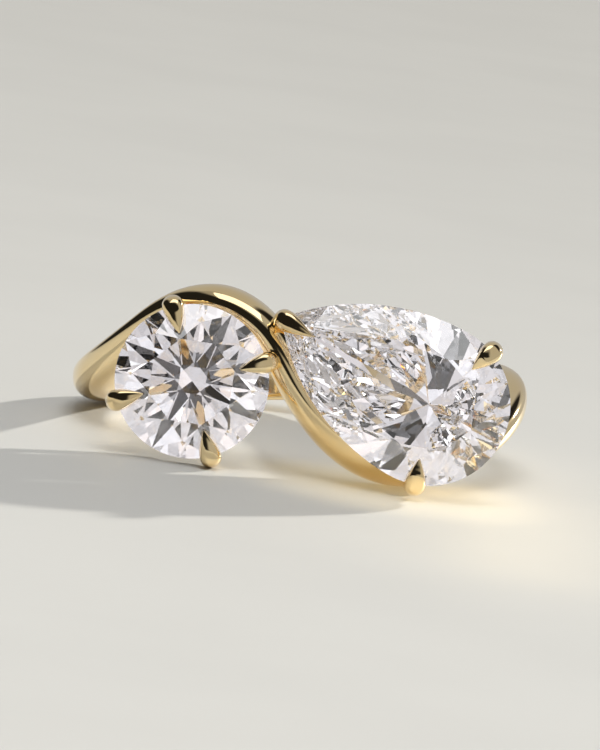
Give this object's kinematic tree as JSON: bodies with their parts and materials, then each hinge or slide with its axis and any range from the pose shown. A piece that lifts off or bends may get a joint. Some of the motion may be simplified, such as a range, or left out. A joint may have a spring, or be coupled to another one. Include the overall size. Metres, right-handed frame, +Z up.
{
  "type": "ring",
  "caption": "Two-stone ring: a round and a pear brilliant in claws, one on each side of a wave-shaped gold band, lying on its side.",
  "frame": {"origin": "middle of the box round the ring, on the surface that it lies on", "axes": "+Z up, -Y towards the stones' tables, +X from the round stone to the pear"},
  "size_m": [0.0196, 0.0216, 0.0078],
  "materials": {
    "gold": "polished",
    "diamond": "polished"
  },
  "bodies": {
    "root": {"gold_mount": "gold", "round_stone": "diamond", "pear_stone": "diamond"}
  },
  "joints": []
}
